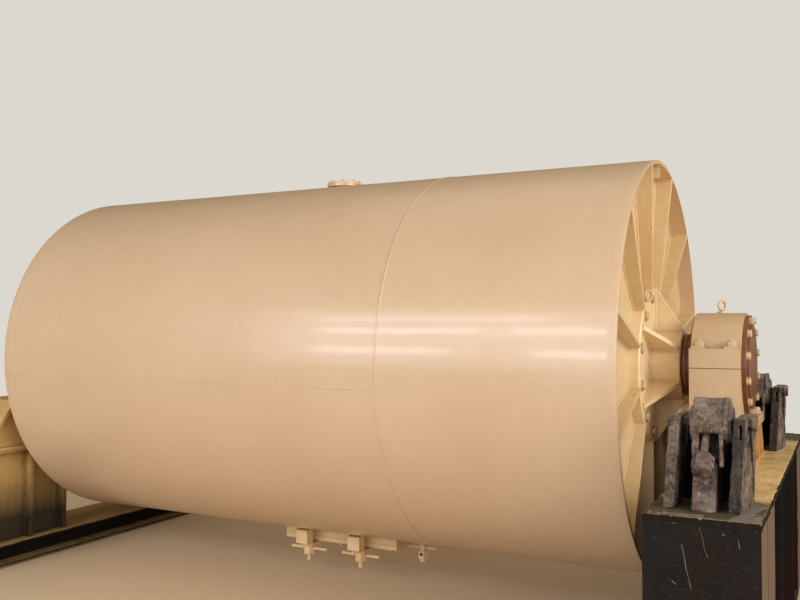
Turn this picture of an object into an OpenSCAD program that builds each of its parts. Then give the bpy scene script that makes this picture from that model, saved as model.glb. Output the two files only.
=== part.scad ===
// Batch ball mill: a welded drum on two trunnion bearings, each on its own steel stand.
// Millimetres. X runs along the drum, Z is up, and the origin is on the ground below mid-length.

/* [Drum] */
// Outside diameter of the drum shell
drum_d = 2200; // [2000:50:2400]
// Length of the shell from rim to rim
drum_l = 3900; // [3500:100:4500]
// Thickness of the shell plate
shell_t = 18; // [12:1:25]
// Length of the short shell course at the right end
short_course_l = 1190; // [900:10:1500]
// Height of the drum's lowest line above the ground
floor_gap = 290; // [270:10:400]

/* [Drum ends] */
// Depth of the end plates behind the rims
end_recess = 100; // [80:5:130]
// Thickness of the end plates
end_plate_t = 30; // [20:1:40]
// Number of radial ribs on each end plate
rib_count = 12; // [6:6:18]
// Thickness of a radial rib
rib_t = 20; // [12:1:30]
// Depth of a rib where it meets the hub flange
rib_hub_depth = 60; // [50:1:75]

/* [Trunnions] */
// Diameter of the bolted hub flange
hub_flange_d = 840; // [800:10:900]
// Thickness of the hub flange
hub_flange_t = 55; // [40:1:70]
// Diameter of the spigot that centres the hub in the end plate
spigot_d = 400; // [380:10:500]
// Bolt circle of the hub flange
hub_bolt_pcd = 735; // [700:5:760]
// Number of hub bolts
hub_bolt_count = 12; // [6:6:24]
// Thread diameter of a hub bolt
hub_bolt_d = 24; // [20:2:30]
// Outside diameter of the hub's tube
hub_tube_d = 362; // [340:2:380]
// Reach of the hub tube beyond the rim
hub_tube_reach = 110; // [90:5:115]
// Number of gussets between hub flange and tube
gusset_count = 6; // [4:1:12]
// Thickness of a gusset
gusset_t = 24; // [12:1:30]
// Height of a gusset's blunt toes
gusset_toe = 8; // [4:1:12]
// Diameter of the journal in the bearing
journal_d = 260; // [220:5:280]
// Outside diameter of the seal collar on the journal
collar_d = 330; // [300:2:340]
// Width of the seal collar
collar_w = 50; // [30:1:52]

/* [Bearings] */
// Gap between the drum's rim and the bearing housing
bearing_gap = 178; // [174:1:200]
// Length of the bearing housing
housing_l = 240; // [220:1:260]
// Height of the bearing's centre above its foot
bearing_centre_h = 290; // [288:1:330]
// Outside radius of the bearing cap
cap_r = 278; // [270:2:300]
// Outside diameter of the roller bearing
bearing_od = 440; // [400:10:460]
// Width of the roller bearing
bearing_w = 146; // [120:1:160]
// Half width of the housing's foot
foot_half_w = 372; // [360:1:376]
// Overhang of the foot past the housing's faces
foot_over = 45; // [30:1:50]
// Thickness of the foot
foot_t = 20; // [14:1:22]
// Thickness of the bolted bearing covers
cover_t = 22; // [15:1:30]
// Radius of the bearing covers
cover_r = 266; // [250:1:267]
// Height of the cap's bolting flange above the split
flange_h = 98; // [90:2:110]
// Height of the bosses under the cap nuts
boss_rise = 12; // [8:1:16]
// Thread diameter of the cap bolts
cap_bolt_d = 30; // [24:2:36]
// Distance between a cap's two bolts on one side
cap_bolt_spacing = 156; // [130:2:170]
// Bar diameter of the lifting eyes
eye_bar_d = 14; // [10:1:18]

/* [Right stand] */
// Gap between the drum's rim and the right stand
stand_gap = 176; // [170:2:200]
// Width of the right stand along the drum
stand_w = 429; // [400:1:480]
// Length of both stands across the drum
stand_l = 2860; // [2800:20:3200]
// Height of the axis above the right stand's top plate
stand_drop = 505; // [480:5:560]
// Thickness of the stand's plates
stand_plate_t = 30; // [20:1:40]
// Depth of the stand's webs behind its faces
web_inset = 70; // [50:5:90]
// Width of the wider hollow post at each corner
corner_post_w = 330; // [250:10:400]
// Width of the narrower hollow post beside it
corner_strip_w = 215; // [150:5:260]
// Gap between the two posts
post_gap = 16; // [8:1:30]

/* [Left stand] */
// Gap between the drum's rim and the left base beam
beam_gap = 162; // [155:1:170]
// Height of the left base beam
beam_h = 158; // [140:2:200]
// Height of the axis above the left columns' caps
column_drop = 615; // [590:5:650]
// Distance from the axis to a column's inner face
column_inner_y = 440; // [400:10:480]
// Distance from the axis to a column's outer face
column_outer_y = 1163; // [1100:1:1200]
// Half width of the saddle's top
saddle_top_half_w = 920; // [850:1:960]
// Thickness of the left stand's plates
column_plate_t = 20; // [16:1:30]
// Thickness of the columns' ribs
column_rib_t = 30; // [20:1:40]
// Thickness of the caps on the columns
column_cap_t = 26; // [16:1:40]

/* [Brackets] */
// Front face of the near bracket, from the axis
near_bracket_y = -1298; // [-1320:2:-1250]
// Front face of the far bracket, from the axis
far_bracket_y = 510; // [510:5:600]
// Height of a bracket's uprights
upright_h = 372; // [365:1:400]
// Depth of a bracket's uprights
upright_depth = 240; // [200:5:300]
// Radius of a bracket's hood
hood_r = 92; // [85:1:95]
// Thread diameter of a bracket's swing bolt
swing_bolt_d = 30; // [24:2:36]
// Distance from the stand's edge to a bracket's left upright
upright_inset = 54; // [50:1:70]
// Clear width between a bracket's uprights at their feet
upright_span = 227; // [220:1:240]
// Thickness of the left upright at its foot
left_upright_t = 41; // [30:1:50]
// Thickness of the right upright at its foot
right_upright_t = 50; // [40:1:60]
// Width of a bracket's hood
hood_w = 127; // [110:1:140]
// Height of the hood's centre above the stand
hood_h = 357; // [350:1:365]
// Height of the hood's post
post_h = 182; // [160:2:200]
// Diameter of a bracket's pin
pin_d = 36; // [28:2:40]

/* [Port and hatch] */
// Place of the port along the drum, from mid-length
port_x = -80; // [-200:10:200]
// Place of the hatch along the drum, from mid-length
hatch_x = -17; // [-200:1:200]
// Diameter of the top port's flange and cover
port_flange_d = 224; // [200:2:260]
// Bore of the top port
port_bore_d = 125; // [80:5:140]
// Height of the port's cover above the shell
port_h = 37; // [34:1:60]
// Length of the bottom hatch
hatch_l = 810; // [700:5:1000]
// Width of the bottom hatch
hatch_w = 320; // [300:5:330]
// Depth of the hatch's underside below the shell
hatch_depth = 62; // [60:1:75]
// Place of the clamps' middle, from the hatch's middle
clamp_shift = -63; // [-100:1:0]
// Distance between the two clamps on a side
clamp_spacing = 374; // [300:2:460]
// Width of a hatch clamp
clamp_w = 92; // [70:1:110]
// Thickness of a hatch clamp's plate
clamp_t = 34; // [20:1:40]
// Thread diameter of a clamp's screw
screw_d = 30; // [20:2:36]
// Place of the drain plug, from the hatch's middle
plug_x = 507; // [460:1:600]

/* [Hidden] */
$fn = 96;

drum_r = drum_d / 2;
shell_ir = drum_r - shell_t;
axis_h = floor_gap + drum_r;
seat_gap = 0.2;
running_gap = 0.08;
cover_gap = 8;
journal_inset = 28;
through = 1;

hub_r = hub_flange_d / 2;
hub_tube_r = hub_tube_d / 2;
hub_face = hub_flange_t - end_recess;
spigot_r = spigot_d / 2;
journal_r = journal_d / 2;
journal_end = bearing_gap + housing_l - journal_inset;
bolt_gap = 1;
hub_bolt_turn = 180 / hub_bolt_count;
rib_turn = 180 / rib_count;

bearing_mid = bearing_gap + housing_l / 2;
bearing_r = bearing_od / 2;
foot_z = -bearing_centre_h;
foot_x0 = bearing_gap - foot_over;
foot_l = housing_l + 2 * foot_over;
base_half_w = cap_r + 47;
shoulder_h = flange_h + boss_rise;
cap_bolt_y = base_half_w - 35;
boss_half_w = 32;
stud_reach = 4 * cap_bolt_d;
cover_lip = 8;
foot_hole_d = 33;
anchor_hole_d = 34;
beam_anchor_y = stand_l / 2 - 230;
box_anchor_y = 650;
stiffener_y = 414;

stand_x1 = stand_gap + stand_w;
stand_half_l = stand_l / 2;
stand_z = -stand_drop;
ground_z = -axis_h;
beam_w = stand_x1 - beam_gap;
beam_z = ground_z + beam_h;
column_z = -column_drop;
saddle_x0 = foot_x0 - 10;
saddle_l = foot_l + 20;
web_set = 30;
rib_stand_out = 50;

hatch_rim = 45;
hatch_open_l = hatch_l - 2 * hatch_rim;
hatch_open_w = hatch_w - 2 * hatch_rim;
hatch_cover_t = 30;
hatch_joint_z = hatch_cover_t - hatch_depth - drum_r;
port_plate_t = 15;
clamp_slack = 4;
clamp_front = hatch_w / 2 + clamp_slack + clamp_t;
clamp_arm_z = -drum_r - hatch_depth;
clamp_drop = 22;
clamp_low_z = clamp_arm_z - 4 - clamp_drop;
screw_y = hatch_w / 2 - 39;
screw_boss_h = 40;
tommy_d = 18;
tommy_l = 264;

upright_x0 = stand_gap + upright_inset;
upright_x1 = upright_x0 + left_upright_t + upright_span;
hood_x0 = upright_x0 + 108;
hood_x1 = hood_x0 + hood_w;
hood_wall = 18;
hood_lip_h = hood_h - 42;
pin_h = hood_h - 17;
bolt_tilt = 45;

steel_cream = "#d9b98a";
steel_shade = "#c9a468";
greasy_steel = "#7d6a5c";
dark_steel = "#2c2928";
bright_steel = "#b9b2a6";
oxide = "#7a4a2b";

// Puts a right end's parts at the right rim, with X outwards and the axis at zero
module at_right() translate([drum_l / 2, 0, axis_h]) children();

// The same parts mirrored to the left rim
module at_left() mirror([1, 0, 0]) at_right() children();

// Puts parts on the drum's axis at the hatch
module at_hatch() translate([hatch_x, 0, axis_h]) children();

// Puts parts on the drum's axis at the port
module at_port() translate([port_x, 0, axis_h]) children();

// A tube or disc along X
module disc_x(x0, l, r_out, r_in = 0) {
  translate([x0, 0, 0]) rotate([0, 90, 0]) difference() {
    cylinder(h = l, r = r_out);
    if (r_in > 0) translate([0, 0, -through]) cylinder(h = l + 2 * through, r = r_in);
  }
}

// A body of revolution about X from points of radius and X
module turned_x(points) {
  rotate([0, 90, 0]) rotate_extrude() polygon(points);
}

// A flat plate standing on the axis, from points of X and radius
module radial_plate(t, points) {
  rotate([90, 0, 0]) linear_extrude(height = t, center = true) polygon(points);
}

// Copies around the X axis
module around_x(count, turn) {
  for (k = [0 : count - 1]) rotate([turn + k * 360 / count, 0, 0]) children();
}

// A block from its lowest to its highest corner
module block(low, high) translate(low) cube(high - low);

// A profile in the YZ plane, drawn along X
module profile_x(x0, l) {
  translate([x0, 0, 0]) rotate([90, 0, 90]) linear_extrude(height = l) children();
}

// A hexagon head on a shank that points along -Z, seated at zero
module hex_bolt(d, shank_l) {
  cylinder(h = 0.65 * d, r = 0.87 * d, $fn = 6);
  translate([0, 0, -shank_l]) cylinder(h = shank_l + through, r = d / 2);
}

module shell_course(x0, l) {
  translate([0, 0, axis_h]) disc_x(x0, l, drum_r, shell_ir);
}

module shell_long_course() {
  color(steel_cream) difference() {
    shell_course(-drum_l / 2, drum_l - short_course_l);
    at_port() cylinder(h = drum_r + through, r = port_bore_d / 2);
    at_hatch() block(
      [-hatch_open_l / 2, -hatch_open_w / 2, -drum_r - through],
      [hatch_open_l / 2, hatch_open_w / 2, 0]
    );
  }
}

module shell_short_course() {
  color(steel_cream) shell_course(drum_l / 2 - short_course_l, short_course_l);
}

module hub_bolt_holes(x0, l) {
  around_x(hub_bolt_count, hub_bolt_turn)
    translate([0, 0, hub_bolt_pcd / 2]) disc_x(x0, l, hub_bolt_d / 2 + bolt_gap);
}

module end_plate() {
  color(steel_shade) difference() {
    disc_x(-end_recess - end_plate_t, end_plate_t, shell_ir - seat_gap, spigot_r);
    hub_bolt_holes(-end_recess - end_plate_t - through, end_plate_t + 2 * through);
  }
}

module end_ribs() {
  rib_tip = sqrt(pow(shell_ir, 2) - pow(rib_t / 2, 2));
  color(steel_cream) around_x(rib_count, rib_turn) radial_plate(rib_t, [
    [-end_recess, hub_r],
    [-end_recess, rib_tip],
    [0, rib_tip],
    [rib_hub_depth - end_recess, hub_r]
  ]);
}

module trunnion() {
  edge = 6;
  gusset_r = hub_r - 15;
  color(steel_cream) difference() {
    union() {
      turned_x([
        [0, -end_recess - end_plate_t],
        [spigot_r - seat_gap, -end_recess - end_plate_t],
        [spigot_r - seat_gap, -end_recess],
        [hub_r, -end_recess],
        [hub_r, hub_face - edge],
        [hub_r - edge, hub_face],
        [hub_tube_r, hub_face],
        [hub_tube_r, hub_tube_reach - edge],
        [hub_tube_r - edge, hub_tube_reach],
        [journal_r, hub_tube_reach],
        [journal_r, journal_end - edge],
        [journal_r - edge, journal_end],
        [0, journal_end]
      ]);
      around_x(gusset_count, 0) radial_plate(gusset_t, [
        [hub_face - through, hub_tube_r - 10],
        [hub_face - through, gusset_r],
        [hub_face + gusset_toe, gusset_r],
        [hub_tube_reach - 5, hub_tube_r + gusset_toe],
        [hub_tube_reach - 5, hub_tube_r - 10]
      ]);
    }
    hub_bolt_holes(-end_recess - through, hub_flange_t + 2 * through);
  }
}

module hub_bolts() {
  color(bright_steel) around_x(hub_bolt_count, hub_bolt_turn)
    translate([hub_face, 0, hub_bolt_pcd / 2]) rotate([0, 90, 0])
      hex_bolt(hub_bolt_d, hub_flange_t + end_plate_t);
}

module seal_collar() {
  groove = 6;
  r = collar_d / 2;
  x0 = hub_tube_reach + through;
  color(oxide) turned_x([
    [journal_r + seat_gap, x0],
    [r - 2 * groove, x0],
    [r - 2 * groove, x0 + groove],
    [r, x0 + groove],
    [r, x0 + collar_w * 0.5],
    [r - groove, x0 + collar_w * 0.5],
    [r - groove, x0 + collar_w],
    [journal_r + seat_gap, x0 + collar_w]
  ]);
}

module port_neck() {
  neck_t = 8;
  flange_z = drum_r + port_h - 2 * port_plate_t;
  neck_r = port_bore_d / 2 + neck_t;
  color(steel_cream) at_port() difference() {
    union() {
      translate([0, 0, shell_ir]) cylinder(h = flange_z - shell_ir + through, r = neck_r);
      translate([0, 0, flange_z]) cylinder(h = port_plate_t, r = port_flange_d / 2);
    }
    translate([0, 0, shell_ir - through]) cylinder(h = drum_r, r = port_bore_d / 2);
    rotate([0, 90, 0]) cylinder(h = 2 * drum_l, r = drum_r + seat_gap, center = true, $fn = 360);
  }
}

module port_cover() {
  edge = 3;
  r = port_flange_d / 2;
  color(steel_cream) at_port() translate([0, 0, drum_r + port_h - port_plate_t])
    rotate_extrude() polygon([
      [0, 0], [r, 0], [r, port_plate_t - edge], [r - edge, port_plate_t], [0, port_plate_t]
    ]);
}

module hatch_frame() {
  color(steel_cream) at_hatch() difference() {
    block([-hatch_l / 2, -hatch_w / 2, hatch_joint_z], [hatch_l / 2, hatch_w / 2, -drum_r + 60]);
    block(
      [-hatch_open_l / 2, -hatch_open_w / 2, hatch_joint_z - through],
      [hatch_open_l / 2, hatch_open_w / 2, 0]
    );
    rotate([0, 90, 0]) cylinder(h = 2 * drum_l, r = drum_r + seat_gap, center = true, $fn = 360);
  }
}

module hatch_cover() {
  color(steel_cream) at_hatch() block(
    [-hatch_l / 2, -hatch_w / 2, -drum_r - hatch_depth],
    [hatch_l / 2, hatch_w / 2, hatch_joint_z]
  );
}

// Copies at the four clamps, with Y towards the hatch's middle line
module at_clamps() {
  for (side = [0, 1], end = [-1, 1])
    mirror([0, side, 0]) translate([clamp_shift + end * clamp_spacing / 2, 0, 0]) children();
}

module hatch_clamps() {
  jaw = 34;
  shell_z = -sqrt(pow(drum_r, 2) - pow(clamp_front, 2));
  color(steel_cream) at_hatch() at_clamps() difference() {
    profile_x(-clamp_w / 2, clamp_w) polygon([
      [-clamp_front, clamp_low_z],
      [-screw_y + jaw, clamp_low_z],
      [-screw_y + jaw, clamp_low_z + clamp_drop],
      [-clamp_front + clamp_t, clamp_low_z + clamp_drop],
      [-clamp_front + clamp_t, shell_z + clamp_t],
      [-clamp_front + clamp_t * 0.6, shell_z + clamp_t],
      [-clamp_front, shell_z - clamp_t * 0.4]
    ]);
    rotate([0, 90, 0]) cylinder(h = 2 * drum_l, r = drum_r + seat_gap, center = true, $fn = 360);
    translate([0, -screw_y, clamp_low_z - through])
      cylinder(h = clamp_drop + 2 * through, r = screw_d / 2 + seat_gap);
  }
}

// A clamp's screw with its hexagon boss and cross bar
module clamp_screw(top_z, boss_z) {
  cylinder_z(boss_z - screw_boss_h - 52, top_z, screw_d / 2);
  cylinder_z(boss_z - screw_boss_h, boss_z, 1.2 * screw_d, 6);
  translate([0, 0, boss_z - screw_boss_h / 2]) rotate([0, 90, 0])
    cylinder(h = tommy_l, r = tommy_d / 2, center = true);
}

// An upright cylinder between two heights
module cylinder_z(z0, z1, r, sides = 48) {
  translate([0, 0, z0]) cylinder(h = z1 - z0, r = r, $fn = sides);
}

module hatch_screws() {
  color(steel_cream) at_hatch() at_clamps() translate([0, -screw_y, 0])
    clamp_screw(clamp_arm_z, clamp_low_z);
}

module drain_plug() {
  plug_top = -drum_r - seat_gap;
  bar_d = 18;
  bar_l = 190;
  bar_z = plug_top - 62;
  color(steel_cream) at_hatch() translate([plug_x, 0, 0]) {
    cylinder_z(plug_top - 30, plug_top, 38);
    cylinder_z(bar_z - bar_d, plug_top - 29, 22);
    cylinder_z(bar_z - 66, bar_z - bar_d + through, 33, 6);
    cylinder_z(bar_z - 86, bar_z - 65, 22);
    translate([0, 0, bar_z]) rotate([0, 90, 0]) cylinder(h = bar_l, r = bar_d / 2, center = true);
  }
}

module bearing_profile() {
  polygon([
    [-foot_half_w, foot_z],
    [foot_half_w, foot_z],
    [foot_half_w, foot_z + foot_t],
    [base_half_w, foot_z + foot_t],
    [base_half_w, 0],
    [-base_half_w, 0],
    [-base_half_w, foot_z + foot_t],
    [-foot_half_w, foot_z + foot_t]
  ]);
}

module bearing_base() {
  color(steel_cream) difference() {
    union() {
      profile_x(bearing_gap, housing_l) bearing_profile();
      block([foot_x0, -foot_half_w, foot_z], [foot_x0 + foot_l, foot_half_w, foot_z + foot_t]);
    }
    disc_x(bearing_gap - through, housing_l + 2 * through, bearing_r);
    at_cap_bolts() cylinder_z(-stud_reach, through, cap_bolt_d / 2 + bolt_gap);
    at_foot_bolts() cylinder_z(foot_z - through, foot_z + foot_t + through, foot_hole_d / 2);
  }
}

// Copies at the four bolts that hold a cap down
module at_cap_bolts() {
  for (side = [-1, 1], end = [-1, 1])
    translate([bearing_mid + end * cap_bolt_spacing / 2, side * cap_bolt_y, 0]) children();
}

// Copies at the four bolts of a housing's foot
module at_foot_bolts() {
  for (side = [-1, 1], end = [-1, 1])
    translate([bearing_mid + end * (foot_l / 2 - 40), side * (foot_half_w - 30), 0]) children();
}

module bearing_cap() {
  color(steel_cream) difference() {
    union() {
      intersection() {
        disc_x(bearing_gap, housing_l, cap_r);
        block([bearing_gap, -cap_r, 0], [bearing_gap + housing_l, cap_r, cap_r]);
      }
      block([bearing_gap, -base_half_w, 0], [bearing_gap + housing_l, base_half_w, flange_h]);
      for (side = [0, 1], end = [-1, 1]) mirror([0, side, 0])
        translate([bearing_mid + end * cap_bolt_spacing / 2, 0, 0]) block(
          [-boss_half_w, cap_bolt_y - 60, flange_h - through],
          [boss_half_w, base_half_w - 2, shoulder_h]
        );
    }
    disc_x(bearing_gap - through, housing_l + 2 * through, bearing_r);
    at_cap_bolts() cylinder_z(-through, shoulder_h + through, cap_bolt_d / 2 + bolt_gap);
  }
}

module roller_bearing() {
  x0 = bearing_mid - bearing_w / 2;
  color(bright_steel) disc_x(x0, bearing_w, bearing_r - seat_gap, journal_r + running_gap);
}

module inner_cover() {
  spigot_in = bearing_mid - bearing_w / 2 - bearing_gap;
  color(steel_cream) union() {
    disc_x(bearing_gap - cover_lip, cover_lip, cover_r, journal_r + cover_gap);
    disc_x(bearing_gap - through, spigot_in + through, bearing_r - seat_gap, journal_r + cover_gap);
  }
}

module outer_cover() {
  x1 = bearing_gap + housing_l;
  spigot_in = x1 - bearing_mid - bearing_w / 2;
  color(steel_cream) union() {
    disc_x(x1, cover_t, cover_r);
    disc_x(x1 - spigot_in, spigot_in + through, bearing_r - seat_gap, journal_r + cover_gap);
    disc_x(x1 + cover_t - through, 10, cover_r - 45);
  }
}

module cap_bolts() {
  nut_h = 0.8 * cap_bolt_d;
  color(bright_steel) at_cap_bolts() {
    cylinder_z(shoulder_h, shoulder_h + nut_h, 0.87 * cap_bolt_d, 6);
    cylinder_z(2 * cap_bolt_d - stud_reach, shoulder_h + nut_h + cap_bolt_d * 0.3, cap_bolt_d / 2);
  }
}

module lifting_eye() {
  ring_r = 24;
  ring_turn = 55;
  color(steel_cream) translate([bearing_mid, 0, cap_r]) {
    cylinder_z(0, 8, 26);
    cylinder_z(7, 20, 11);
    translate([0, 0, 14 + ring_r]) rotate([90, 0, ring_turn]) rotate_extrude()
      translate([ring_r, 0]) circle(r = eye_bar_d / 2, $fn = 48);
  }
}

module saddle_outline(inset) {
  low = column_z + inset;
  high = foot_z - inset;
  polygon([
    [-column_outer_y + 1.6 * inset, low],
    [column_outer_y - 1.6 * inset, low],
    [saddle_top_half_w - 0.7 * inset, high],
    [-saddle_top_half_w + 0.7 * inset, high]
  ]);
}

module saddle_frame() {
  color(steel_cream) at_left() difference() {
    profile_x(saddle_x0, saddle_l) difference() {
      saddle_outline(0);
      saddle_outline(column_plate_t);
    }
    at_foot_bolts() cylinder_z(foot_z - 60, foot_z + through, foot_hole_d / 2);
  }
}

module saddle_webs() {
  x1 = saddle_x0 + saddle_l;
  color(steel_shade) at_left() for (x = [saddle_x0 + web_set, x1 - web_set - column_plate_t])
    profile_x(x, column_plate_t) saddle_outline(column_plate_t + seat_gap);
}

// One column: two faces between three ribs, under a cap
module column_plates() {
  x0 = beam_gap + 10;
  x1 = stand_x1 - 60;
  t = column_plate_t;
  cap_over = 6;
  high = column_z - column_cap_t;
  mid_y = (column_inner_y + column_outer_y) / 2 - 80;
  rib_ys = [column_inner_y, mid_y, column_outer_y - column_rib_t];
  for (x = [x0 + rib_stand_out, x1 - rib_stand_out - t])
    block([x, column_inner_y, beam_z], [x + t, column_outer_y, high + through]);
  for (y = rib_ys) block([x0, y, beam_z], [x1, y + column_rib_t, high + through]);
  block(
    [x0 - cap_over, column_inner_y - cap_over, high],
    [x1 + cap_over, column_outer_y + cap_over, column_z]
  );
}

module columns() {
  color(steel_shade) at_left() for (side = [0, 1]) mirror([0, side, 0]) column_plates();
}

module base_beam() {
  flange_t = 24;
  web_t = 16;
  web_x = 110;
  x1 = beam_gap + beam_w;
  color(dark_steel) at_left() difference() {
    union() {
      for (z = [ground_z, beam_z - flange_t])
        block([beam_gap, -stand_half_l, z], [x1, stand_half_l, z + flange_t]);
      for (x = [beam_gap + web_x, x1 - web_x - web_t])
        block([x, -stand_half_l, ground_z], [x + web_t, stand_half_l, beam_z]);
    }
    at_anchors(beam_gap + 50, x1 - 50, beam_anchor_y)
      cylinder_z(ground_z - through, ground_z + flange_t + through, anchor_hole_d / 2);
  }
}

// Copies at the four anchor holes of a stand, at two places in X
module at_anchors(x0, x1, y) {
  for (x = [x0, x1], side = [-1, 1]) translate([x, side * y, 0]) children();
}

module pedestal() {
  t = column_plate_t;
  top_t = 30;
  half_w = foot_half_w + 15;
  x1 = foot_x0 + foot_l;
  base_x0 = stand_gap + 4;
  color(steel_cream) at_right() difference() {
    union() {
      block([foot_x0, -half_w, foot_z - top_t], [x1, half_w, foot_z]);
      block([base_x0, -half_w, stand_z], [x1, half_w, stand_z + t]);
      for (x = [base_x0 + 36, x1 - 56 - t])
        block([x, -half_w + 30, stand_z], [x + t, half_w - 30, foot_z]);
      for (y = [-half_w + 30, -half_w / 3, half_w / 3 - t, half_w - 30 - t])
        rotate([90, 0, 0]) translate([0, 0, -y - t]) linear_extrude(height = t) polygon([
          [base_x0, stand_z],
          [x1, stand_z],
          [x1, stand_z + 60],
          [x1 - 12, foot_z],
          [foot_x0 + 12, foot_z],
          [base_x0, stand_z + 60]
        ]);
    }
    at_foot_bolts() cylinder_z(foot_z - 60, foot_z + through, foot_hole_d / 2);
  }
}

module stand_top() {
  color(dark_steel) at_right() block(
    [stand_gap, -stand_half_l, stand_z - stand_plate_t],
    [stand_x1, stand_half_l, stand_z]
  );
}

module stand_box() {
  t = stand_plate_t;
  low = ground_z;
  high = stand_z - stand_plate_t;
  foot_w = 110;
  stiffener_w = 128;
  color(dark_steel) at_right() difference() {
    union() {
      for (x = [stand_gap + web_inset, stand_x1 - web_inset - t])
        block([x, -stand_half_l + t, low], [x + t, stand_half_l - t, high]);
      for (y = [-stand_half_l, stand_half_l - t])
        block([stand_gap, y, low], [stand_x1, y + t, high]);
      for (x = [stand_gap, stand_x1 - foot_w])
        block([x, -stand_half_l, low], [x + foot_w, stand_half_l, low + t]);
      for (x = [stand_gap, stand_x1 - web_inset], side = [0, 1]) mirror([0, side, 0]) {
        channel(x, -stiffener_y - stiffener_w / 2, stiffener_w, low, high);
        hollow_post(x, -stand_half_l + t, corner_strip_w, low, high);
        hollow_post(x, -stand_half_l + t + corner_strip_w + post_gap, corner_post_w, low, high);
      }
    }
    at_anchors(stand_gap + 35, stand_x1 - 35, box_anchor_y)
      cylinder_z(low - through, low + t + through, anchor_hole_d / 2);
  }
}

// A post of thin plate that stands against a web
module hollow_post(x0, y0, w, low, high) {
  t = 12;
  difference() {
    block([x0, y0, low], [x0 + web_inset, y0 + w, high]);
    block([x0 + t, y0 + t, low - through], [x0 + web_inset - t, y0 + w - t, high + through]);
  }
}

// A rolled channel standing against a web, its flanges outwards
module channel(x0, y0, w, low, high) {
  t = 12;
  block([x0, y0, low], [x0 + web_inset, y0 + t, high]);
  block([x0, y0 + w - t, low], [x0 + web_inset, y0 + w, high]);
}

// Copies at the two brackets, from their front faces on the stand's top plate
module at_brackets() {
  for (y = [near_bracket_y, far_bracket_y]) translate([0, y, stand_z]) children();
}

// A plate across X and Z, from its front face backwards
module plate_y(y0, depth, points) {
  translate([0, y0 + depth, 0]) rotate([90, 0, 0]) linear_extrude(height = depth) polygon(points);
}

// The side outline of a hood: a round top on straight legs
module hood_outline(inset) {
  translate([hood_r, hood_h]) circle(r = hood_r - inset);
  translate([inset, post_h - inset]) square([2 * (hood_r - inset), hood_h - post_h + inset]);
}

module bracket_uprights() {
  slot_h = 60;
  slot_w = 12;
  slot_x = upright_x1 + right_upright_t * 0.64;
  slot_z = upright_h - 24;
  lean = 28;
  left_points = [
    [upright_x0, 0],
    [upright_x0 + left_upright_t, 0],
    [upright_x0 + left_upright_t + lean, upright_h],
    [upright_x0 + left_upright_t, upright_h],
    [upright_x0 + lean, upright_h - 20]
  ];
  right_points = [
    [upright_x1, 0],
    [upright_x1 + right_upright_t, 0],
    [upright_x1 + right_upright_t + 7, upright_h],
    [upright_x1 + 15, upright_h]
  ];
  color(greasy_steel) at_right() at_brackets() difference() {
    union() {
      plate_y(0, upright_depth, left_points);
      plate_y(0, upright_depth, right_points);
    }
    translate([0, hood_r, pin_h]) disc_x(stand_gap, stand_w, pin_d / 2 + seat_gap);
    block([slot_x, -through, slot_z - slot_h], [slot_x + slot_w, 40, slot_z]);
  }
}

module bracket_posts() {
  color(greasy_steel) at_right() at_brackets()
    block([hood_x0 - 2, 60, 0], [hood_x1 - 19, 2 * hood_r, post_h]);
}

module bracket_hoods() {
  left_cheek = 28;
  right_cheek = 14;
  color(greasy_steel) at_right() at_brackets() difference() {
    union() {
      difference() {
        profile_x(hood_x0, hood_x1 - hood_x0) difference() {
          hood_outline(0);
          translate([-through, 0]) square([2 * hood_r + 2 * through, post_h]);
        }
        profile_x(hood_x0 + left_cheek, hood_x1 - hood_x0 - left_cheek - right_cheek)
          hood_outline(hood_wall);
        block(
          [hood_x0 + left_cheek, -through, post_h - through],
          [hood_x1 - right_cheek, hood_wall + through, hood_lip_h]
        );
      }
      translate([0, hood_r, hood_h]) disc_x(hood_x1, 20, hood_r + 2);
      translate([0, hood_r, pin_h]) disc_x(hood_x1 + 19, 14, hood_r - 18);
      translate([0, hood_r, pin_h]) disc_x(hood_x0 - 16, 16, hood_r - 20);
    }
    translate([0, hood_r, pin_h]) disc_x(stand_gap, stand_w, pin_d / 2 + seat_gap);
  }
}

module bracket_pins() {
  head_t = 20;
  head_x = upright_x1 + right_upright_t + 7;
  color(greasy_steel) at_right() at_brackets() translate([0, hood_r, pin_h]) {
    disc_x(upright_x0 + 8, head_x + through - upright_x0 - 8, pin_d / 2);
    translate([head_x, 0, 0]) rotate([0, 90, 0]) cylinder(h = head_t, r = 0.9 * pin_d, $fn = 6);
  }
}

module swing_bolts() {
  x = hood_x0 + 53;
  eye_r = 34;
  nut_at = pin_h - 163;
  color(greasy_steel) at_right() at_brackets() translate([x, hood_r, pin_h]) rotate([-bolt_tilt, 0, 0])
    difference() {
      union() {
        disc_x(-15, 30, eye_r);
        cylinder_z(-nut_at - 49, -eye_r / 2, swing_bolt_d / 2);
        cylinder_z(-nut_at - 50, -nut_at, 42, 6);
        cylinder_z(-nut_at - 74, -nut_at - 49, 36);
      }
      disc_x(-20, 40, pin_d / 2 + seat_gap);
    }
}

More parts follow.
